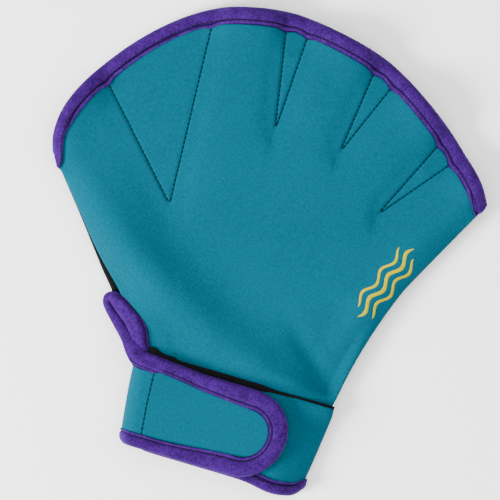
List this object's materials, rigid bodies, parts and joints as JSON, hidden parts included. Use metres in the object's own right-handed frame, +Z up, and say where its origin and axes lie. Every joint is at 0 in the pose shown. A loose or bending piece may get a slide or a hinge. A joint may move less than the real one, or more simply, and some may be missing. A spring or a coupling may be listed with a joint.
{
  "type": "webbed swim glove",
  "caption": "Right-hand webbed swim glove of soft foam sheet with open fingertips, stitched webs, bound edges and a wrap-over wrist strap, lying flat on its palm.",
  "frame": {"origin": "on the floor under the middle of the glove's outline", "axes": "+Y from the cuff to the fingers, +X from the thumb side to the little-finger side, +Z up out of the back of the hand"},
  "size_m": [0.2176, 0.2302, 0.0214],
  "materials": {
    "teal_sheet": "matt knitted face on foam rubber sheet",
    "black_sheet": "matt knitted face on foam rubber sheet",
    "purple_binding": "matt folded stretch tape",
    "hook_tape": "matt hook tape, plain"
  },
  "bodies": {
    "root": {"back_panel": "teal_sheet", "palm_panel": "black_sheet", "cuff_band": "teal_sheet", "wrist_strap": "teal_sheet", "hook_patch": "hook_tape", "top_binding_back": "purple_binding", "top_binding_palm": "purple_binding", "slit_binding_back": "purple_binding", "slit_binding_palm": "purple_binding", "strap_binding": "purple_binding", "hem_binding": "purple_binding"}
  },
  "joints": []
}
